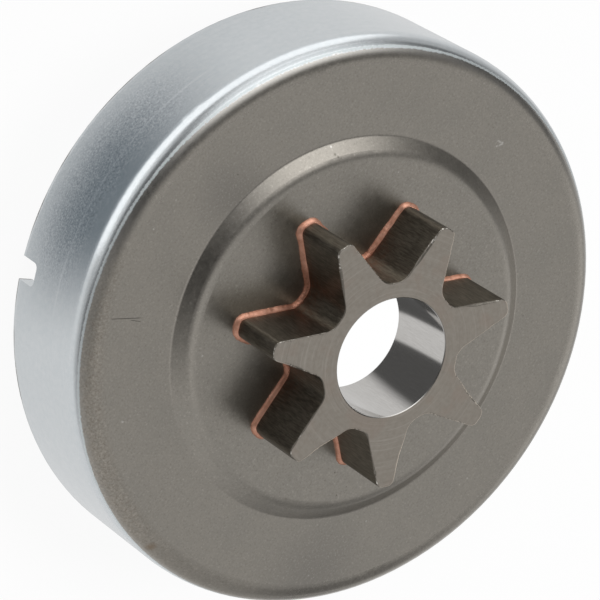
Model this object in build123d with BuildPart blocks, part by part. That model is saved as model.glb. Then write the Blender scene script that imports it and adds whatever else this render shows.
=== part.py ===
"""Chainsaw spur sprocket: a pressed clutch drum with a seven-tooth star brazed on its face.

Millimetres. The axis is Z, the drum stands on its open rim at Z = 0 and the star's free end points up.
"""

import os
from math import radians, tan

from build123d import *

# Clutch drum, one pressed sheet of even thickness
drum_diameter = 77.3
drum_height = 17.95  # rim to the outer face of the web
sheet = 2.0
wall_bend = 1.3  # inside radius of the bend between wall and web
rim_break = 0.15  # broken edges of the turned rim

# Raised boss in the middle of the web, with a cone round its flat top
boss_foot_diameter = 52.0
boss_slope_width = 2.2  # from the cone's foot in to its top, seen from above
boss_height = 1.55
boss_foot_round = 0.6  # outside radius where the cone leaves the web
boss_bend = 0.4  # inside radius where the cone meets the flat top

# Notch in the rim, which carries the oil pump's drive round
notch_tooth = 4  # the notch is in line with this tooth, counted on from the first
notch_width = 3.1
notch_depth = 3.85
notch_corner = 0.8

# Star with its spigot and needle-cage bore
tooth_count = 7
tooth_phase = 88.03  # angle of the middle of the first tooth
tip_diameter = 35.6
root_diameter = 20.2
tip_width = 2.22  # across the flanks, at the tip diameter
flank_angle = 14.0  # lean of each flank to the middle of its tooth
tip_round = 1.0
root_round = 1.4
star_length = 9.1  # boss to the star's free end
star_edge = 0.15  # broken edge round the star's free end
spigot_diameter = 19.0
bore_diameter = 16.0
bore_chamfer = 0.2

# Copper braze in the corner between star and boss
braze_leg = 0.5
braze_gap = 0.04  # room for the braze round the spigot, on the radius

# Sizes that follow
drum_radius = drum_diameter / 2
boss_foot_radius = boss_foot_diameter / 2
boss_top_radius = boss_foot_radius - boss_slope_width
boss_top = drum_height + boss_height
boss_underside = boss_top - sheet
notch_angle = tooth_phase + notch_tooth * 360 / tooth_count
spigot_radius = spigot_diameter / 2
web_hole_radius = spigot_radius + braze_gap
bore_radius = bore_diameter / 2
root_radius = root_diameter / 2
tooth_reach = tip_diameter / 2 - bore_radius  # each tooth is drawn from the bore's radius outwards
tooth_foot_width = tip_width + 2 * tooth_reach * tan(radians(flank_angle))

# Clutch drum: the outer line of its section, thickened inwards by one sheet and turned about the axis
with BuildPart() as clutch_drum:
    with BuildSketch(Plane.XZ):
        with BuildLine():
            FilletPolyline(
                (drum_radius, 0),
                (drum_radius, drum_height),
                (boss_foot_radius, drum_height),
                (boss_top_radius, boss_top),
                (web_hole_radius, boss_top),
                radius=[wall_bend + sheet, boss_foot_round, boss_bend + sheet],
            )
            offset(amount=sheet, side=Side.LEFT)
        make_face()
    revolve(axis=Axis.Z)
    chamfer(clutch_drum.faces().sort_by(Axis.Z)[0].edges(), length=rim_break)
    with BuildSketch(Plane.XZ.rotated((0, 0, notch_angle + 90))):
        RectangleRounded(notch_width, 2 * notch_depth, notch_corner)
    extrude(amount=drum_radius, mode=Mode.SUBTRACT)

clutch_drum.part.label = "clutch_drum"

# Outline of the star: straight-flanked teeth round the root circle, drawn on the boss
with BuildSketch(Plane.XY.offset(boss_top)) as star_outline:
    Circle(root_radius)
    with PolarLocations(bore_radius, tooth_count, start_angle=tooth_phase):
        Trapezoid(
            tooth_foot_width,
            tooth_reach,
            90 - flank_angle,
            rotation=-90,
            align=(Align.CENTER, Align.MIN),
        )
    fillet(star_outline.vertices().group_by(SortBy.DISTANCE)[-1], radius=tip_round)
    # Out by one radius and back in rounds the corners at the root, and leaves the flanks where they are
    offset(amount=root_round, mode=Mode.REPLACE)
    offset(amount=-root_round, mode=Mode.REPLACE)

# Spur sprocket: the star, on a spigot that fills the web's hole and ends flush with the web inside
with BuildPart() as spur_sprocket:
    add(star_outline.sketch)
    extrude(amount=star_length)
    chamfer(spur_sprocket.faces().sort_by(Axis.Z)[-1].edges(), length=star_edge)
    with BuildSketch(Plane.XY.offset(boss_underside)):
        Circle(spigot_radius)
    extrude(amount=sheet)
    Hole(bore_radius)
    bore_wall = spur_sprocket.faces().filter_by(GeomType.CYLINDER).sort_by(SortBy.AREA)[-1]
    chamfer(bore_wall.edges().filter_by(GeomType.CIRCLE), length=bore_chamfer)

spur_sprocket.part.label = "spur_sprocket"

# Braze: what a fillet adds where the star stands on the boss
with BuildPart() as braze_fillet:
    with BuildSketch(Plane.XY.offset(boss_underside)):
        Circle(boss_top_radius)
    extrude(amount=sheet)
    extrude(star_outline.sketch, amount=star_length)
    seam = braze_fillet.edges().filter_by_position(Axis.Z, boss_top, boss_top)
    fillet(seam.sort_by(SortBy.LENGTH)[:-1], radius=braze_leg)
    split(bisect_by=Plane.XY.offset(boss_top), keep=Keep.TOP)
    extrude(star_outline.sketch, amount=star_length, mode=Mode.SUBTRACT)

braze_fillet.part.label = "braze_fillet"

os.makedirs("parts", exist_ok=True)
export_step(clutch_drum.part, "parts/clutch_drum.step")
export_step(spur_sprocket.part, "parts/spur_sprocket.step")
export_step(braze_fillet.part, "parts/braze_fillet.step")
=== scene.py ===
"""Studio scene of the chainsaw spur sprocket: camera, light, worn star, braze bead and every finish.

Sizes are in millimetres and are turned into metres where a mesh, a lamp or a camera is made. Colours are
linear. Values in pairs are the start and the end of a soft change, unless their comment says something else.
"""

from collections import namedtuple
from math import asin, cos, pi, radians, sin

import bpy
import numpy as np
from mathutils import Matrix, Vector


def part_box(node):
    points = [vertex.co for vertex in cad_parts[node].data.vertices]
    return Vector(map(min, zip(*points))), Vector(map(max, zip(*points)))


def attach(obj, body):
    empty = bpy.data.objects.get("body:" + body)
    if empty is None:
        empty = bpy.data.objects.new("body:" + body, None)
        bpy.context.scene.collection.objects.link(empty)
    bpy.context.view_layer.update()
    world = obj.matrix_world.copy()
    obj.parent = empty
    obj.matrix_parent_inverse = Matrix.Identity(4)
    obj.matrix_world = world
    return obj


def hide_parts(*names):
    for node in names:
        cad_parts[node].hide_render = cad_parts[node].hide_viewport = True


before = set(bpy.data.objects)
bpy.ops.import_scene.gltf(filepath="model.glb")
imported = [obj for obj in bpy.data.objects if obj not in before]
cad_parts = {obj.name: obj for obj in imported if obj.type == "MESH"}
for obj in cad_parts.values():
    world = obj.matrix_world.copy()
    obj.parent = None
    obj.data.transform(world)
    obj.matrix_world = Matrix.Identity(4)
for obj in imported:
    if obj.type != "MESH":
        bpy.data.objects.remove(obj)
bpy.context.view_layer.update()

MM = 0.001

Place = namedtuple("Place", "point x y z radius angle")
Patch = namedtuple("Patch", "direction edge level")

# Camera, as fitted to the photograph
image_size = 600
camera_elevation = radians(51.272)
camera_roll = radians(122.724)
camera_distance = 505.42
focal_length_px = 3968.6
aim_height = 20.0  # point on the axis that the camera is placed from
aim_pixel = (355.715, 334.798)  # where that point is seen
sensor_width = 36.0
clip_range = 10, 20000

# Drum: the cut of the lathe
drum_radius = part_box("clutch_drum")[1].x / MM
boss_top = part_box("clutch_drum")[1].z / MM
finish_height = 16.65  # where the turned wall ends on the bend, at the axis
finish_tilt = 0.75  # how far that line rises and falls
finish_tilt_turn = radians(215)
finish_ragged = -0.09, 0.09  # how far the line strays
turning_line_height = 9.9  # a lighter line that the tool left round the wall
turning_line_width = 0.04, 0.30

# Drum: what lies next to the end of the cut, as distances below it
turned_drop = -0.03, 0.05
rubbed_drop = -0.85, 0.0
lip_start = -0.02, 0.08
lip_end = 0.20, 0.34
step_shade_start = 0.22, 0.36
step_shade_end = 0.50, 0.70
chipped_drop = 0.08, 0.2

# Drum: where its surface changes
bend_radius = 34.9, 36.0  # the web turns down
rubbed_radius = 36.2, 36.9  # rubbed lighter, next to the turned wall
grit_radius = 34.9, 36.6  # brownish grit on the bend
grit_x = 2.0, 18.0
grit_y = -14.0, 2.0
dull_x = -6.0, 14.0  # the bend is dull
dull_y = 2.0, 22.0
step_shade_x = 5.0, 20.0  # the painted shade of the step under the end of the cut fades out
glint_speckle_y = -38.2, -34.5  # painted glints: specks over the -Y side of the wall, where it mirrors a dark band
glint_speckle_foot = 0.5, 6.0
glint_speckle_top = 11.0, 14.5
turning_line_y = -37.0, -33.0
burr_height = 0.10, 0.30
burr_uneven = -0.16, 0.16

# Drum: marks, seen from above
scratches = (  # start, end and width
    ((12.45, -28.15), (14.75, -32.3), 0.16),
    ((12.95, -28.0), (13.5, -29.6), 0.12),
)
bright_scratches = (
    ((-30.79, 3.87), (-30.99, 5.12), 0.36),
    ((-30.01, 4.27), (-30.99, 5.12), 0.32),
)
bright_nicks = (  # x, y and radius
    (24.75, -22.1, 0.26),
    (8.0, 30.75, 0.22),
    (29.75, 16.75, 0.16),
    (19.75, 20.0, 0.18),
    (-2.0, -33.5, 0.18),
    (2.5, -34.0, 0.18),
    (-20.2, -8.0, 0.18),
    (12.55, -18.35, 0.2),
    (-18.1, -18.15, 0.22),
)
dark_nicks = (
    (-8.75, -27.75, 0.2),
    (-17.55, -17.45, 0.26),
    (-17.5, -17.0, 0.24),
    (16.4, 9.8, 0.2),
    (17.2, 12.7, 0.14),
    (18.8, 12.1, 0.18),
    (17.95, 9.15, 0.13),
    (-14.0, 23.6, 0.18),
)
web_shade_patches = (  # painted shade: darker patches on the web
    (29.5, 17.5, 10.5),
    (-6.0, -27.0, 7.0),
)
rust_spots = ((36.66, -7.18, 1.0),)

# Drum: colours
web_tones = (0.37, 0.346, 0.307), (0.41, 0.381, 0.339)
cloud_tone = (0.355, 0.335, 0.30)
painted_shade_tone = (0.27, 0.255, 0.235)
grain_light = (0.52, 0.49, 0.44)
grain_dark = (0.28, 0.26, 0.23)
fleck_tone = (0.57, 0.54, 0.49)
nick_light = (0.74, 0.72, 0.68)
nick_dark = (0.13, 0.12, 0.10)
scratch_light = (0.68, 0.66, 0.62)
scratch_dark = (0.16, 0.15, 0.135)
rubbed_tone = (0.55, 0.54, 0.52)
grit_tones = (0.34, 0.30, 0.25), (0.60, 0.55, 0.485)
rust_tone = (0.27, 0.19, 0.12)
wall_tones = (0.62, 0.655, 0.675), (0.675, 0.70, 0.715)
lathe_tone = (0.55, 0.59, 0.615)
# painted glints: light and dark specks over the -Y side of the wall
painted_glint_tone = (0.95, 0.96, 0.96)
glint_speckle_dark_tone = (0.37, 0.40, 0.43)
line_tone = (0.92, 0.93, 0.94)
# painted shade of the step below the end of the cut
step_shade_tone = (0.36, 0.39, 0.40)
# lip of the cut: partly a burnished edge, partly a painted highlight on the step's edge
lip_highlight_tone = (0.82, 0.88, 0.89)
chipped_tone = (0.93, 0.93, 0.92)
burr_tones = (0.17, 0.155, 0.14), (0.85, 0.85, 0.84)

# Drum: roughness and relief
web_roughness = 0.28, 0.34
bend_polish = 0.08  # less roughness on the bend
dull_roughness = 0.26  # more where the bend is dull
wall_roughness = 0.19, 0.25
lip_roughness = 0.3  # more on the lip
drum_relief = 0.03, 0.4  # on the web and on the wall
relief_depth = 0.02  # of drum and star

# Star
tooth_count = 7
tooth_phase = radians(88.03)
tip_radius = 17.8
root_radius = 10.1
tip_width = 2.22
flank_angle = radians(14)
tip_round = 1.0
root_round = 2.2
spigot_radius = 9.5
bore_radius = 8.0
bore_chamfer = 0.12
star_base, star_top = (corner.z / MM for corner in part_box("spur_sprocket"))
half_tooth_columns = 105
face_rows = 8
flank_rows = (0.03, 0.08, 0.16, 0.3, 0.5, 0.75, 1.0)  # share of the way down the flank
sharp_angle = radians(40)  # edges of star and bead that turn more than this stay sharp

# Star: worn edge round its free end
edge_wear = 0.13  # mean width
edge_ripple = 0.05
edge_fine_ripple = 0.5  # as a share of the ripple
edge_depth = 1.05, 0.25  # mean and ripple, as shares of the width
edge_limits = 0.04, 0.48  # least and greatest width
edge_margin = 0.6  # width of the band inside the outline that follows the edge
margin_rows = (0.35, 0.7)  # share of the way across that band
edge_rows = 6
trailing_wear = 0.24  # more width on the flank that trails
trailing_middle = 0.72  # of that stretch, as a share of the tooth's outline
trailing_fade = 0.08
trailing_flat = 1.6  # half of that stretch, in lengths of its fade
back_wear = 0.08  # more width on the side away from the camera
chip_count = 46
chip_depth = 0.10, 0.34  # least and greatest
chip_length = 0.15, 0.55  # least and greatest

# Star: where its surface changes
free_end_lean = 0.90, 0.985  # upward share of the normal
edge_lean = 0.04, 0.22
edge_drop = 0.5, 0.2  # below the free end
bore_margin = 0.02, 0.12  # outside the bore's radius
tip_dark_radius = 16.4, 17.4
wetted_radius = 11.0, 15.5  # copper ran up the roots
wetted_rise = 0.5, 6.0  # above the boss
shine_radius = 13.0, 17.6  # the edge is brighter towards the tips
painted_side_lean = -0.1, 0.3  # share of the normal away from the camera, over which the worn edge is painted brighter and tan: light painted by side

# Star: colours
flank_tones = (0.13, 0.115, 0.092), (0.285, 0.258, 0.213)
speck_tone = (0.46, 0.43, 0.37)
tip_tone = (0.11, 0.10, 0.085)
wetted_tone = (0.26, 0.125, 0.075)
face_tones = (0.385, 0.347, 0.30), (0.44, 0.40, 0.35)
ring_light = (0.57, 0.53, 0.48)
ring_dark = (0.315, 0.285, 0.25)
blush_tone = (0.42, 0.34, 0.285)
# bare metal towards the camera and away from it: a tint painted by side
bare_tones_painted_by_side = (0.90, 0.87, 0.80), (0.84, 0.74, 0.62)
worn_tone = (0.24, 0.22, 0.19)
bore_tones = (0.55, 0.535, 0.515), (0.60, 0.585, 0.565)

# Star: roughness and relief
star_roughness = 0.36, 0.48
bore_roughness = 0.11
star_relief = 0.16, 0.03  # outside and in the bore

# Braze bead
bead_out = 0.46  # mean width on the boss
bead_lean = 0.12  # how much wider it is towards -Y, where the braze ran as it set
bead_rise = 0.56  # mean height on the star
bead_ripple = 0.10
bead_fine_ripple = 0.03
bead_rise_ripple = 0.7  # as a share of the ripple
bead_fullness = 1.5, 0.35  # mean and ripple; 1 is a straight fillet and 2 a round bead
bead_rows = 9
bead_sink = 0.03  # how far the bead reaches into star and boss, so that no gap shows
valley_radius = 10.6, 12.4
pitted_radius = 10.6, 12.6
copper_tones = (0.70, 0.335, 0.225), (0.85, 0.455, 0.325)
valley_tone = (0.48, 0.19, 0.115)
pit_tone = (0.30, 0.12, 0.075)
braze_roughness = 0.34, 0.48
braze_relief = 0.25
braze_depth = 0.03
braze_metallic = 0.7

# Studio: soft patches of the world, by direction, with their edge as a cosine and the level across it
key_direction = (-0.80, -0.37, 0.47)
key_panel = Patch(key_direction, (0.68, 1.0), (0, 1))
key_gap = Patch(key_direction, (0.45, 0.66), (0, 0.62))
far_panel = Patch((0, 0.67, 0.74), (0.36, 0.78), (0.20, 0.56))
fill_panel = Patch((0.9, 0.1, 0.35), (0.70, 0.97), (0.20, 0.61))
overhead_panel = Patch((0.35, 0, 0.93), (0.85, 1.0), (0, 0.14))
far_corner_shade = Patch((0.38, 0.85, 0.38), (0.90, 0.985), (1, 0.45))
camera_shade = Patch((0.17, -0.57, 0.80), (0.93, 0.985), (1, 0.15))
left_corner_shade = Patch((-0.72, 0.66, 0.22), (0.92, 0.985), (1, 0.36))
back_strip = Patch((-0.12, 0.96, 0.24), (0.90, 0.99), (0, 0.2))
front_strip = Patch((0.05, -1, 0), (0.85, 0.95), (0, 1))
gap_side = Patch((0, 1, 0), (-0.6, -0.3), (0, 1))
key_falloff = 1.6
key_height = 0.25, 0.65  # upward share of the direction
key_level = 1.05, 1.9
gap_height = 0.3, 0.6
strip_height = 0.10, 0.30
strip_level = 0.6

# Studio: lamp over the floor
lamp_place = (-200, 250, 500)
lamp_width = 260
lamp_beam = radians(60)
lamp_blend = 0.8
lamp_watts = 6

# Studio: floor and the wall round it
floor_half = 6000
floor_tone = (0.9, 0.9, 0.9)
floor_glow_metal = 0.9  # share of the floor that glows, as the metal sees it
floor_glow_camera = 0.93
floor_level = 0.87, 0.81  # as the metal sees it, away from the dim side and towards it
floor_dim_turn = radians(190)
floor_dim_edge = 0.1, 0.8
floor_far_radius = 50, 92
floor_far_level = 0.62
floor_stretch_x = 0, 50  # the floor stays bright further out towards +X
floor_stretch = 25
floor_corner = (74, 74, 0)  # a darker corner that the bend's far side shows
floor_corner_reach = 14, 48
floor_corner_level = 0.4
backdrop_radius = 3000
backdrop_height = 1500
backdrop_tone = (0.97, 0.97, 0.97)

# Studio: cards on the floor, which the metal reflects
card_height = 0.2
card_columns = 96
flag_radius = 38.9, 450  # inner and outer
flag_fade_radius = 315, 450
dark_start = radians(226), radians(270)
dark_end = radians(280), radians(312)
dark_radius = 35.0, 45.5
white_start = radians(184), radians(198)
white_end = radians(284), radians(292)
white_radius = 56, 62
flag_level = 0.24, 1.45
flag_dark_tone = (0.86, 0.97, 1.06)
reflector_radius = 0.1, 34  # inner and outer
reflector_level = 0.8
reflector_gap_level = 0.11
wide_band_turn = radians(146)
wide_band_edge = 0.25, 0.88
narrow_band_turn = radians(-5)
narrow_band_edge = 0.78, 0.86

# Shared by several finishes
white = (1, 1, 1)
noise_middle = 0.25, 0.75  # where most of a noise's values lie


class Graph:
    """The nodes of one shader, with a short call for each kind that the finishes use."""

    def __init__(self, tree):
        self.tree = tree
        tree.nodes.clear()

    def put(self, socket, value):
        if isinstance(value, bpy.types.NodeSocket):
            self.tree.links.new(value, socket)
        elif socket.type == "RGBA":
            socket.default_value = (*value, 1.0)
        else:
            socket.default_value = value

    def node(self, kind, inputs=None, **settings):
        made = self.tree.nodes.new(kind)
        for name, value in settings.items():
            setattr(made, name, value)
        for name, value in (inputs or {}).items():
            self.put(made.inputs[name], value)
        return made

    def math(self, operation, *values):
        made = self.node("ShaderNodeMath", dict(enumerate(values)), operation=operation)
        return made.outputs[0]

    def product(self, first, *others):
        for value in others:
            first = self.math("MULTIPLY", first, value)
        return first

    def measure(self, operation, first, second):
        """A number from two vectors: their distance or their dot product."""
        made = self.node("ShaderNodeVectorMath", {0: first, 1: second}, operation=operation)
        return made.outputs["Value"]

    def smooth(self, value, low, high, start=0.0, end=1.0):
        inputs = {"Value": value, "From Min": low, "From Max": high, "To Min": start, "To Max": end}
        made = self.node("ShaderNodeMapRange", inputs, interpolation_type="SMOOTHSTEP")
        return made.outputs["Result"]

    def blend(self, factor, first, second):
        """A number between two others."""
        made = self.node("ShaderNodeMix", {"Factor": factor, "A": first, "B": second})
        return made.outputs["Result"]

    def mix(self, factor, first, second):
        """A colour between two others."""
        made = self.node("ShaderNodeMix", data_type="RGBA")
        self.put(made.inputs["Factor"], factor)
        self.put(made.inputs[6], first)
        self.put(made.inputs[7], second)
        return made.outputs[2]

    def noise(self, vector, scale, detail, roughness):
        inputs = {"Vector": vector, "Scale": scale, "Detail": detail, "Roughness": roughness}
        return self.node("ShaderNodeTexNoise", inputs).outputs["Fac"]

    def vector(self, x, y, z):
        return self.node("ShaderNodeCombineXYZ", {0: x, 1: y, 2: z}).outputs[0]

    def place(self):
        """Where the surface is, in millimetres and radians, with radius and angle taken round the axis."""
        metres = self.node("ShaderNodeTexCoord").outputs["Object"]
        scaled = self.node("ShaderNodeVectorMath", {0: metres, "Scale": 1 / MM}, operation="SCALE")
        point = scaled.outputs[0]
        x, y, z = self.node("ShaderNodeSeparateXYZ", {0: point}).outputs
        radius = self.math("SQRT", self.math("ADD", self.product(x, x), self.product(y, y)))
        return Place(point, x, y, z, radius, self.math("ARCTAN2", y, x))

    def spots(self, flat, marks, soft):
        """Round marks seen from above: one where a mark is, fading out over the soft share of its radius."""
        total = 0.0
        for x, y, radius in marks:
            away = self.measure("DISTANCE", flat, (x, y, 0))
            spot = self.smooth(away, radius * (1 - soft), radius, 1.0, 0.0)
            total = self.math("MAXIMUM", spot, total)
        return total

    def strokes(self, point, marks):
        """Straight scratches seen from above."""
        total = 0.0
        for start, end, width in marks:
            run = Vector(end) - Vector(start)
            along = run.normalized()
            inputs = {0: point, 1: (*start, 0)}
            offset = self.node("ShaderNodeVectorMath", inputs, operation="SUBTRACT").outputs[0]
            ahead = self.measure("DOT_PRODUCT", offset, (along.x, along.y, 0))
            aside = self.measure("DOT_PRODUCT", offset, (-along.y, along.x, 0))
            half = run.length / 2
            reach = self.math("ABSOLUTE", self.math("SUBTRACT", ahead, half))
            line = self.smooth(self.math("ABSOLUTE", aside), 0.2 * width, 0.5 * width, 1.0, 0.0)
            line = self.product(line, self.smooth(reach, 0.7 * half, half, 1, 0))
            total = self.math("MAXIMUM", line, total)
        return total

    def surface(self, shader, out="ShaderNodeOutputMaterial"):
        self.put(self.node(out).inputs["Surface"], shader)

    def metal(self, colour, roughness, shape, relief, depth=relief_depth, metallic=1.0):
        """A metal surface with a fine relief."""
        bump = self.node("ShaderNodeBump", {"Height": shape, "Strength": relief, "Distance": depth * MM})
        inputs = {
            "Base Color": colour,
            "Roughness": roughness,
            "Metallic": metallic,
            "Normal": bump.outputs[0],
        }
        self.surface(self.node("ShaderNodeBsdfPrincipled", inputs).outputs[0])

    def glow(self, colour, level):
        return self.node("ShaderNodeEmission", {"Color": colour, "Strength": level}).outputs[0]


def new_material(name):
    material = bpy.data.materials.new(name)
    material.use_nodes = True
    return material, Graph(material.node_tree)


def end_of_cut(g, at):
    """How far the surface lies below the ragged line where the lathe stopped, which is out of square."""
    tilt_x, tilt_y = (finish_tilt / drum_radius * part(finish_tilt_turn) for part in (cos, sin))
    level = g.math("ADD", g.product(at.x, tilt_x), g.product(at.y, tilt_y))
    below = g.math("SUBTRACT", g.math("ADD", level, finish_height), at.z)
    return g.math("ADD", below, g.smooth(g.noise(at.point, 4.0, 4.0, 0.7), 0.2, 0.8, *finish_ragged))


def web_colour(g, at, cloud, mottle, grain, ragged):
    """Brown-grey from the furnace, with grain, flecks, patches of painted shade, nicks and scratches, and
    grit on the bend.
    """
    flat = g.vector(at.x, at.y, 0.0)
    web = g.mix(g.smooth(mottle, *noise_middle), *web_tones)
    web = g.mix(g.smooth(cloud, 0.42, 0.70, 0, 0.4), web, cloud_tone)
    # painted shade: darker patches on the web
    web = g.mix(g.product(g.spots(flat, web_shade_patches, 1.0), 0.5), web, painted_shade_tone)
    web = g.mix(g.smooth(grain, 0.54, 0.68, 0, 0.75), web, grain_light)
    web = g.mix(g.smooth(grain, 0.32, 0.46, 0.75, 0), web, grain_dark)
    fleck = g.smooth(g.noise(at.point, 1.9, 2.0, 0.5), 0.69, 0.76, 0, 0.5)
    web = g.mix(fleck, web, fleck_tone)

    broken = g.smooth(grain, 0.36, 0.56, 0.15, 0.8)
    web = g.mix(g.product(g.spots(flat, bright_nicks, 0.9), broken), web, nick_light)
    web = g.mix(g.product(g.spots(flat, dark_nicks, 0.9), broken), web, nick_dark)
    web = g.mix(g.product(g.strokes(at.point, bright_scratches), broken), web, scratch_light)
    web = g.mix(g.strokes(at.point, scratches), web, scratch_dark)

    rubbed = g.product(g.smooth(ragged, *rubbed_drop), g.smooth(at.radius, *rubbed_radius))
    web = g.mix(g.product(rubbed, 0.6), web, rubbed_tone)
    gritty = g.product(g.smooth(at.radius, *grit_radius), g.smooth(at.x, *grit_x))
    gritty = g.product(gritty, g.smooth(at.y, *grit_y, 0.55, 0.1), g.smooth(mottle, 0.32, 0.62, 0.35, 1.0))
    web = g.mix(gritty, web, g.mix(g.smooth(grain, 0.36, 0.66), *grit_tones))
    return g.mix(g.product(g.spots(flat, rust_spots, 1.0), 0.6), web, rust_tone)


def wall_colour(g, at, cloud, mottle, grain, ragged, lathe, sparkle, lip):
    """Bright steel with turning marks, painted glints speckled over its -Y side, a lip with a partly painted
    highlight and the painted shade of a step on top, and a burr at the foot.
    """
    wall = g.mix(g.smooth(mottle, *noise_middle), *wall_tones)
    wall = g.mix(g.smooth(lathe, 0.35, 0.75, 0, 0.3), wall, lathe_tone)
    # painted glints: light and dark specks over the -Y side of the wall, between foot and bend
    painted_glint_zone = g.product(g.smooth(at.y, *glint_speckle_y, 0.72, 0.03), g.smooth(at.z, *glint_speckle_top, 1, 0.05))
    painted_glint_zone = g.product(painted_glint_zone, g.smooth(at.z, *glint_speckle_foot, 0.25, 1))
    wall = g.mix(g.product(painted_glint_zone, g.smooth(sparkle, 0.50, 0.70)), wall, painted_glint_tone)
    wall = g.mix(g.product(painted_glint_zone, g.smooth(sparkle, 0.30, 0.50, 1, 0)), wall, glint_speckle_dark_tone)

    off_line = g.math("ABSOLUTE", g.math("SUBTRACT", at.z, turning_line_height))
    line = g.smooth(off_line, *turning_line_width, 0.42, 0.0)
    wall = g.mix(g.product(line, g.smooth(at.y, *turning_line_y, 1, 0)), wall, line_tone)

    # painted shade: a dark line for a small step just below the end of the cut
    step = g.product(g.smooth(ragged, *step_shade_start), g.smooth(ragged, *step_shade_end, 1.0, 0.0))
    step = g.product(step, g.smooth(at.x, *step_shade_x, 1.0, 0.0))
    wall = g.mix(g.product(step, 0.5), wall, step_shade_tone)
    # lip of the cut: partly a burnished edge, partly a painted highlight on the step's edge
    wall = g.mix(g.product(lip, 0.7), wall, lip_highlight_tone)
    chipped = g.smooth(g.noise(at.point, 0.9, 3.0, 0.6), 0.62, 0.66)
    chipped = g.product(chipped, g.smooth(g.math("ABSOLUTE", ragged), *chipped_drop, 1, 0))
    wall = g.mix(g.product(chipped, 0.8), wall, chipped_tone)

    uneven = g.math("ADD", at.z, g.smooth(cloud, 0.3, 0.7, *burr_uneven))
    burr = g.smooth(uneven, *burr_height, 0.85, 0.0)
    return g.mix(burr, wall, g.mix(g.smooth(grain, 0.60, 0.66), *burr_tones))


def drum_finish():
    """Turned bright wall, brown-grey web as it came from the furnace, and a line on the bend between them."""
    material, g = new_material("drum_finish")
    at = g.place()
    cloud = g.noise(at.point, 0.16, 3.0, 0.5)
    mottle = g.noise(at.point, 1.3, 5.0, 0.65)
    grain = g.noise(at.point, 3.4, 4.0, 0.75)
    sparkle = g.noise(at.point, 3.8, 2.0, 0.6)
    lathe = g.noise(g.vector(g.product(at.angle, 1.2), 0.0, g.product(at.z, 7.0)), 1.0, 4.0, 0.7)
    ragged = end_of_cut(g, at)
    turned = g.smooth(ragged, *turned_drop)
    lip = g.product(g.smooth(ragged, *lip_start), g.smooth(ragged, *lip_end, 1.0, 0.0))

    web = web_colour(g, at, cloud, mottle, grain, ragged)
    wall = wall_colour(g, at, cloud, mottle, grain, ragged, lathe, sparkle, lip)
    bend = g.smooth(at.radius, *bend_radius)
    dull = g.product(bend, g.product(g.smooth(at.x, *dull_x), g.smooth(at.y, *dull_y, 1, 0)))
    rough_web = g.smooth(mottle, *noise_middle, *web_roughness)
    rough_web = g.math("SUBTRACT", rough_web, g.product(bend, bend_polish))
    rough_web = g.math("ADD", rough_web, g.product(dull, dull_roughness))
    rough_wall = g.math("ADD", g.smooth(lathe, 0.2, 0.8, *wall_roughness), g.product(lip, lip_roughness))
    g.metal(
        g.mix(turned, web, wall),
        g.blend(turned, rough_web, rough_wall),
        g.blend(turned, mottle, sparkle),
        g.smooth(turned, 0, 1, *drum_relief),
    )
    return material


def flank_colour(g, at, axial, mottle, speck):
    """Dark hardened steel with an axial grain, and copper that ran up the roots."""
    flank = g.mix(g.smooth(axial, 0.3, 0.75), *flank_tones)
    flank = g.mix(g.smooth(speck, 0.63, 0.74, 0, 0.65), flank, speck_tone)
    flank = g.mix(g.smooth(at.radius, *tip_dark_radius, 0, 0.25), flank, tip_tone)
    low, high = (boss_top + rise for rise in wetted_rise)
    wetted = g.product(g.smooth(at.radius, *wetted_radius, 1.0, 0.1), g.smooth(at.z, low, high, 1, 0))
    wetted = g.product(wetted, g.smooth(mottle, 0.35, 0.7, 0.2, 0.75))
    return g.mix(wetted, flank, wetted_tone)


def face_colour(g, at, rings, mottle):
    """The turned free end, with fine rings and a faint warm blush."""
    face = g.mix(g.smooth(mottle, *noise_middle), *face_tones)
    face = g.mix(g.smooth(rings, 0.52, 0.70, 0, 0.45), face, ring_light)
    face = g.mix(g.smooth(rings, 0.30, 0.44, 0.40, 0), face, ring_dark)
    blush = g.smooth(g.noise(at.point, 0.3, 2.0, 0.5), 0.52, 0.70, 0, 0.35)
    return g.mix(blush, face, blush_tone)


def worn_colour(g, at, back):
    """The worn edge: bare in places and more so towards the tips, with light painted by side: more bare and
    tan on the side away from the camera.
    """
    shine = g.math("ADD", g.smooth(at.radius, *shine_radius, 0.0, 0.12), g.noise(at.point, 2.2, 4.0, 0.7))
    # painted light by side: more bare metal, tinted tan, on the side away from the camera
    shine = g.math("ADD", shine, g.smooth(back, *painted_side_lean, 0.0, 0.3))
    bare = g.mix(g.smooth(back, *painted_side_lean), *bare_tones_painted_by_side)
    return g.mix(g.smooth(shine, 0.60, 0.76), worn_tone, bare)


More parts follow.
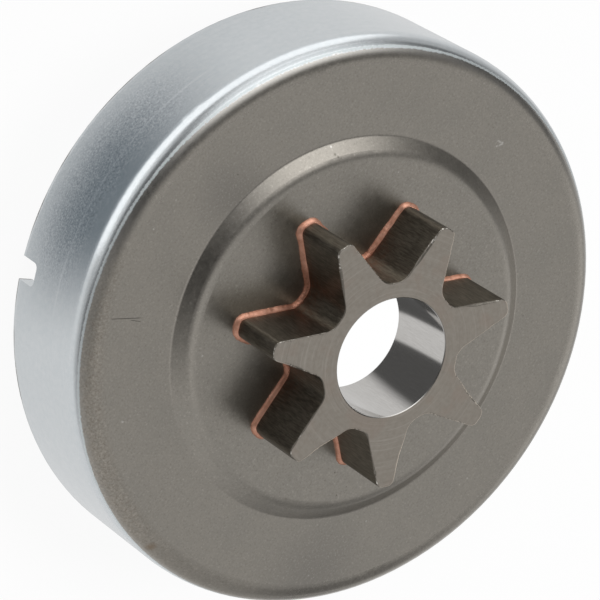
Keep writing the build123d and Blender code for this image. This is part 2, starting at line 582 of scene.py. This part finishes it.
def star_finish():
    """Dark hardened flanks with an axial grain, a turned free end, a worn bright edge with light painted by
    side, and a ground bore.
    """
    material, g = new_material("star_finish")
    at = g.place()
    normal = g.node("ShaderNodeNewGeometry").outputs["Normal"]
    _, back, up = g.node("ShaderNodeSeparateXYZ", {0: normal}).outputs
    mottle = g.noise(at.point, 1.6, 5.0, 0.65)
    speck = g.noise(at.point, 7.0, 3.0, 0.7)
    axial = g.noise(g.vector(at.x, at.y, g.product(at.z, 0.12)), 5.0, 4.0, 0.7)
    rings = g.noise(g.vector(g.product(at.radius, 3.2), g.product(at.angle, 0.6), 0.0), 1.0, 3.0, 0.8)

    free_end = g.smooth(up, *free_end_lean)
    high = g.smooth(at.z, *(star_top - drop for drop in edge_drop))
    edge = g.product(g.smooth(up, *edge_lean), g.math("SUBTRACT", 1.0, free_end), high)
    in_bore = g.smooth(at.radius, *(bore_radius + margin for margin in bore_margin), 1.0, 0.0)

    colour = g.mix(free_end, flank_colour(g, at, axial, mottle, speck), face_colour(g, at, rings, mottle))
    colour = g.mix(edge, colour, worn_colour(g, at, back))
    colour = g.mix(in_bore, colour, g.mix(g.smooth(axial, 0.3, 0.7), *bore_tones))
    g.metal(
        colour,
        g.blend(in_bore, g.smooth(axial, 0.2, 0.8, *star_roughness), bore_roughness),
        g.blend(free_end, axial, rings),
        g.smooth(in_bore, 0, 1, *star_relief),
    )
    return material


def braze_finish():
    """Copper as it set in the furnace: salmon on the crown, darker and speckled in the valleys."""
    material, g = new_material("braze_finish")
    at = g.place()
    tone = g.noise(at.point, 1.1, 4.0, 0.6)
    speck = g.noise(at.point, 6.0, 3.0, 0.7)
    colour = g.mix(g.smooth(tone, 0.3, 0.7), *copper_tones)
    # darker towards the valleys between the teeth
    colour = g.mix(g.smooth(at.radius, *valley_radius, 0.45, 0), colour, valley_tone)
    pitted = g.math("ADD", speck, g.smooth(at.radius, *pitted_radius, 0.10, 0))
    colour = g.mix(g.smooth(pitted, 0.62, 0.72, 0, 0.7), colour, pit_tone)
    roughness = g.smooth(speck, 0.2, 0.8, *braze_roughness)
    g.metal(colour, roughness, speck, braze_relief, braze_depth, braze_metallic)
    return material


def arc(centre, radius, start, end, count):
    """Points on a circle; the last one is left for the next stretch of the outline."""
    turn = np.linspace(start, end, count, endpoint=False)
    return np.column_stack((centre[0] + radius * np.cos(turn), centre[1] + radius * np.sin(turn)))


def half_tooth():
    """Outline from the middle of a tooth's tip to the middle of the valley, with the tooth along +X."""
    flank_normal = pi / 2 - flank_angle
    normal = np.array((cos(flank_normal), sin(flank_normal)))
    flank_offset = normal @ (tip_radius, tip_width / 2)
    tip_x = tip_radius - tip_round
    tip_centre = np.array((tip_x, (flank_offset - tip_round - normal[0] * tip_x) / normal[1]))
    root_reach = root_radius + root_round
    root_turn = asin((flank_offset + root_round) / root_reach) - flank_angle
    root_centre = root_reach * np.array((cos(root_turn), sin(root_turn)))
    flank_top = tip_centre + tip_round * normal
    flank_foot = root_centre - root_round * normal
    valley = pi / tooth_count
    dense = 400  # points in each stretch
    return np.vstack((
        np.linspace((tip_radius, 0), (tip_radius, tip_centre[1]), dense, endpoint=False),
        arc(tip_centre, tip_round, 0, flank_normal, dense),
        np.linspace(flank_top, flank_foot, dense, endpoint=False),
        arc(root_centre, root_round, flank_normal + pi, root_turn + pi, dense)[:-1],
        arc((0, 0), root_radius, root_turn, valley, dense),
        [(root_radius * cos(valley), root_radius * sin(valley))],
    ))


def star_outline():
    """The star's outline in even steps: points, outward normals and the length along it."""
    half = half_tooth()
    run = np.concatenate(([0], np.cumsum(np.linalg.norm(np.diff(half, axis=0), axis=1))))
    steps = (np.arange(half_tooth_columns) + 0.5) / half_tooth_columns * run[-1]
    half = np.column_stack([np.interp(steps, run, half[:, axis]) for axis in (0, 1)])
    tooth = np.vstack((half[::-1] * (1, -1), half))
    turns = tooth_phase + np.arange(tooth_count) * 2 * pi / tooth_count
    points = np.vstack([tooth @ ((cos(turn), sin(turn)), (-sin(turn), cos(turn))) for turn in turns])
    along = np.roll(points, -1, axis=0) - np.roll(points, 1, axis=0)
    along /= np.linalg.norm(along, axis=1)[:, None]
    normals = np.column_stack((along[:, 1], -along[:, 0]))
    length = np.arange(len(points)) * 2 * run[-1] * tooth_count / len(points)
    return points, normals, length


def ripple(length, waves, seed):
    """A smooth uneven line from -1 to 1 round a closed outline."""
    random = np.random.default_rng(seed)
    turn = 2 * pi * length / (length[1] * len(length))
    line = sum(np.sin(wave * turn + random.uniform(0, 2 * pi)) for wave in waves)
    return line / np.abs(line).max()


def edge_width(length, normals):
    """Width of the worn edge at each column: a rippled bevel with chips broken out of it."""
    random = np.random.default_rng(11)
    total = length[1] * len(length)
    width = edge_wear + edge_ripple * ripple(length, range(20, 90, 7), 3)
    width += edge_fine_ripple * edge_ripple * ripple(length, range(150, 640, 35), 4)
    along_tooth = length * tooth_count / total % 1
    off_trailing = np.abs(along_tooth - trailing_middle) / trailing_fade
    width += trailing_wear * np.clip(trailing_flat - off_trailing, 0, 1)
    width += back_wear * np.clip(normals[:, 1], 0, 1)
    for centre in random.uniform(0, total, chip_count):
        depth = random.uniform(*chip_depth)
        reach = random.uniform(*chip_length)
        away = np.abs((length - centre + total / 2) % total - total / 2)
        width = np.maximum(width, depth * np.clip(1 - (away / reach) ** 2, 0, 1))
    return np.clip(width, *edge_limits)


def ring_mesh(name, rings, closed=True):
    """A mesh from rings of equally many points; each is joined to the next and, if closed, last to first."""
    count = len(rings[0])
    points = np.vstack(rings) * MM
    step = np.arange(count)
    following = (step + 1) % count
    faces = []
    for row in range(len(rings) if closed else len(rings) - 1):
        low = row * count
        high = (row + 1) % len(rings) * count
        faces.append(np.column_stack((low + step, low + following, high + following, high + step)))
    mesh = bpy.data.meshes.new(name)
    mesh.from_pydata(points.tolist(), [], np.vstack(faces).tolist())
    mesh.shade_smooth()
    mesh.set_sharp_from_angle(angle=sharp_angle)
    made = bpy.data.objects.new(name, mesh)
    bpy.context.scene.collection.objects.link(made)
    return made


def ring(points, height):
    return np.column_stack((points, np.broadcast_to(height, len(points))))


def circle(turn, radius):
    return np.column_stack((radius * np.cos(turn), radius * np.sin(turn)))


def make_star():
    """The star from its spigot up the bore, over the free end and its worn edge and down the flanks."""
    points, normals, length = star_outline()
    width = edge_width(length, normals)
    depth = width * (edge_depth[0] + edge_depth[1] * ripple(length, range(33, 140, 9), 5))
    inner = points - normals * edge_margin
    turn = np.arctan2(inner[:, 1], inner[:, 0])
    reach = np.linalg.norm(inner, axis=1)
    mouth_radius = bore_radius + bore_chamfer
    rings = [
        ring(circle(turn, spigot_radius), boss_top),
        ring(circle(turn, spigot_radius), star_base),
        ring(circle(turn, mouth_radius), star_base),
        ring(circle(turn, bore_radius), star_base + bore_chamfer),
        ring(circle(turn, bore_radius), star_top - bore_chamfer),
    ]
    for share in np.linspace(0, 1, face_rows):
        rings.append(ring(circle(turn, (1 - share) * mouth_radius + share * reach), star_top))
    for share in margin_rows:
        inset = edge_margin - share * (edge_margin - width)
        rings.append(ring(points - normals * inset[:, None], star_top))
    for lean in np.linspace(0, pi / 2, edge_rows):
        inset = width * (1 - sin(lean))
        rings.append(ring(points - normals * inset[:, None], star_top - depth * (1 - cos(lean))))
    flank_top = star_top - depth
    for share in flank_rows:
        rings.append(ring(points, flank_top + share * (boss_top - flank_top)))
    star = ring_mesh("star", rings)
    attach(star, "root")
    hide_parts("spur_sprocket")
    return star


def make_bead():
    """The braze as it set: a bead in the corner between star and boss, of uneven width and fullness."""
    points, normals, length = star_outline()
    out = bead_out - bead_lean * points[:, 1] / tip_radius
    out += bead_ripple * ripple(length, range(9, 60, 5), 21)
    out += bead_fine_ripple * ripple(length, range(90, 300, 17), 22)
    rise = bead_rise + bead_rise_ripple * bead_ripple * ripple(length, range(8, 70, 6), 23)
    fullness = bead_fullness[0] + bead_fullness[1] * ripple(length, range(12, 80, 7), 24)
    rings = [ring(points - normals * bead_sink, boss_top - bead_sink)]
    rings.append(ring(points + normals * out[:, None], boss_top - bead_sink))
    for lean in np.linspace(0, pi / 2, bead_rows):
        across = out * cos(lean) ** (2 / fullness)
        height = rise * sin(lean) ** (2 / fullness)
        rings.append(ring(points + normals * across[:, None], boss_top + height))
    rings.append(ring(points - normals * bead_sink, boss_top + rise))
    bead = ring_mesh("braze_bead", rings)
    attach(bead, "root")
    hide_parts("braze_fillet")
    return bead


def dress(obj, material):
    obj.data.materials.clear()
    obj.data.materials.append(material)


def make_camera():
    """The camera is turned to the pixel that its aim is seen at, and its picture is rolled."""
    back = Vector((0, -cos(camera_elevation), sin(camera_elevation)))
    level = Vector((1, 0, 0))
    upright = Vector((0, sin(camera_elevation), cos(camera_elevation)))
    right = level * cos(camera_roll) + upright * sin(camera_roll)
    up = upright * cos(camera_roll) - level * sin(camera_roll)
    middle = image_size / 2
    aim_right = (aim_pixel[0] - middle) / focal_length_px
    aim_up = (middle - aim_pixel[1]) / focal_length_px
    axis = (back + right * aim_right + up * aim_up).normalized()
    right = (right - axis * right.dot(axis)).normalized()
    up = axis.cross(right)
    data = bpy.data.cameras.new("camera")
    data.sensor_width = sensor_width
    data.lens = focal_length_px * sensor_width / image_size
    data.clip_start, data.clip_end = (distance * MM for distance in clip_range)
    camera = bpy.data.objects.new("camera", data)
    stand = Matrix.Translation(Vector((0, 0, aim_height * MM)) + back * camera_distance * MM)
    camera.matrix_world = stand @ Matrix((right, up, axis)).transposed().to_4x4()
    bpy.context.scene.collection.objects.link(camera)
    bpy.context.scene.camera = camera


def make_world():
    """A dim studio: a large soft key panel at -X, a grey panel on the far side and a fill at +X."""
    world = bpy.data.worlds.new("studio")
    world.use_nodes = True
    bpy.context.scene.world = world
    g = Graph(world.node_tree)
    heading = g.node("ShaderNodeTexCoord").outputs["Generated"]
    height = g.node("ShaderNodeSeparateXYZ", {0: heading}).outputs[2]

    def patch(kind):
        facing = g.measure("DOT_PRODUCT", heading, tuple(Vector(kind.direction).normalized()))
        return g.smooth(facing, *kind.edge, *kind.level)

    level = g.math("MAXIMUM", patch(far_panel), patch(fill_panel))
    level = g.math("ADD", level, patch(overhead_panel))
    level = g.product(level, patch(far_corner_shade))

    # A dark gap round the key panel, and shades that keep the camera's side and the left corner dim
    gap = g.product(patch(key_gap), patch(gap_side), g.smooth(height, *gap_height))
    level = g.product(level, g.math("SUBTRACT", 1.0, gap), patch(camera_shade), patch(left_corner_shade))

    # Strips low at the back and the front, and the key panel, which is brighter higher up
    level = g.math("ADD", level, patch(back_strip))
    strip = g.product(g.smooth(height, *strip_height, strip_level, 0), patch(front_strip))
    level = g.math("ADD", level, strip)
    panel = g.math("POWER", patch(key_panel), key_falloff)
    level = g.math("ADD", level, g.product(panel, g.smooth(height, *key_height, *key_level)))
    background = g.node("ShaderNodeBackground", {"Color": white, "Strength": level})
    g.surface(background.outputs[0], "ShaderNodeOutputWorld")


def make_lamp():
    """A soft spot that lights a pool on the floor round the part."""
    data = bpy.data.lights.new("soft_top", "SPOT")
    data.shadow_soft_size = lamp_width / 2 * MM
    data.spot_size = lamp_beam
    data.spot_blend = lamp_blend
    data.energy = lamp_watts
    lamp = bpy.data.objects.new("soft_top", data)
    lamp.location = Vector(lamp_place) * MM
    lamp.rotation_euler = Vector(lamp_place).to_track_quat("Z", "Y").to_euler()
    lamp.visible_glossy = False
    bpy.context.scene.collection.objects.link(lamp)


def floor_finish():
    """White with a soft shadow for the camera; the metal sees it bright near the part and greyer far away."""
    material, g = new_material("floor_white")
    at = g.place()
    ray = g.node("ShaderNodeLightPath").outputs
    towards = g.math("COSINE", g.math("SUBTRACT", at.angle, floor_dim_turn))
    level = g.smooth(towards, *floor_dim_edge, *floor_level)
    corner = g.measure("DISTANCE", at.point, floor_corner)
    level = g.product(level, g.smooth(corner, *floor_corner_reach, floor_corner_level, 1.0))
    reach = g.math("SUBTRACT", at.radius, g.smooth(at.x, *floor_stretch_x, 0, floor_stretch))
    level = g.product(level, g.smooth(reach, *floor_far_radius, 1.0, floor_far_level))
    strength = g.math("SUBTRACT", 1.0, g.product(ray["Is Glossy Ray"], g.math("SUBTRACT", 1.0, level)))
    share = g.product(ray["Is Glossy Ray"], floor_glow_metal)
    for kind in ("Is Camera Ray", "Is Transmission Ray"):
        share = g.math("MAXIMUM", share, g.product(ray[kind], floor_glow_camera))
    lit = g.node("ShaderNodeBsdfDiffuse", {"Color": floor_tone}).outputs[0]
    seen = g.glow(white, strength)
    g.surface(g.node("ShaderNodeMixShader", {0: share, 1: lit, 2: seen}).outputs[0])
    return material


def make_floor():
    half = floor_half * MM
    mesh = bpy.data.meshes.new("floor")
    corners = [(-half, -half, 0), (half, -half, 0), (half, half, 0), (-half, half, 0)]
    mesh.from_pydata(corners, [], [(0, 1, 2, 3)])
    floor = bpy.data.objects.new("floor", mesh)
    bpy.context.scene.collection.objects.link(floor)
    dress(floor, floor_finish())


def make_strip(name, radii, heights, material):
    """A ring between two circles, which casts no shadow and lights nothing."""
    turn = np.linspace(0, 2 * pi, card_columns, endpoint=False)
    rings = [ring(circle(turn, radius), height) for radius, height in zip(radii, heights)]
    strip = ring_mesh(name, rings, closed=False)
    dress(strip, material)
    strip.visible_shadow = False
    strip.visible_diffuse = False
    return strip


def backdrop_finish():
    material, g = new_material("backdrop_white")
    g.surface(g.glow(backdrop_tone, 1.0))
    return material


def flag_finish():
    """A sector in front of the part, dark near it and white beyond, for a dark band under a bright bend."""
    material, g = new_material("flag")
    at = g.place()
    turn = g.math("MODULO", g.math("ADD", at.angle, 2 * pi), 2 * pi)
    near = g.product(g.smooth(turn, *dark_start), g.smooth(turn, *dark_end, 1, 0))
    near = g.product(near, g.smooth(at.radius, *dark_radius))
    far = g.product(g.smooth(turn, *white_start), g.smooth(turn, *white_end, 1, 0))
    far = g.product(far, g.smooth(at.radius, *flag_fade_radius, 1, 0))
    beyond = g.smooth(at.radius, *white_radius)
    card = g.glow(g.mix(beyond, flag_dark_tone, white), g.smooth(beyond, 0, 1, *flag_level))
    clear = g.node("ShaderNodeBsdfTransparent").outputs[0]
    share = g.blend(beyond, near, far)
    g.surface(g.node("ShaderNodeMixShader", {0: share, 1: clear, 2: card}).outputs[0])
    return material


def reflector_finish():
    """A disc under the bore, white to the camera; the metal sees two bright sectors, which band the bore."""
    material, g = new_material("reflector")
    at = g.place()
    ray = g.node("ShaderNodeLightPath").outputs
    wide = g.math("COSINE", g.math("SUBTRACT", at.angle, wide_band_turn))
    narrow = g.math("COSINE", g.math("SUBTRACT", at.angle, narrow_band_turn))
    light = g.math("MAXIMUM", g.smooth(wide, *wide_band_edge), g.smooth(narrow, *narrow_band_edge))
    level = g.math("MAXIMUM", g.product(light, reflector_level), reflector_gap_level)
    g.surface(g.glow(white, g.math("MAXIMUM", level, ray["Is Camera Ray"])))
    return material


def make_stage():
    """A floor, a white wall round it for low views, two cards that the metal reflects, and the lamp."""
    make_floor()
    backdrop = make_strip("backdrop", 2 * (backdrop_radius,), (0, backdrop_height), backdrop_finish())
    backdrop.visible_glossy = False
    flag = make_strip("flag", flag_radius, 2 * (card_height,), flag_finish())
    flag.visible_camera = False
    make_strip("reflector", reflector_radius, 2 * (card_height,), reflector_finish())
    make_lamp()


bpy.context.scene.view_settings.view_transform = "Standard"
dress(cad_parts["clutch_drum"], drum_finish())
dress(make_star(), star_finish())
dress(make_bead(), braze_finish())
make_camera()
make_world()
make_stage()
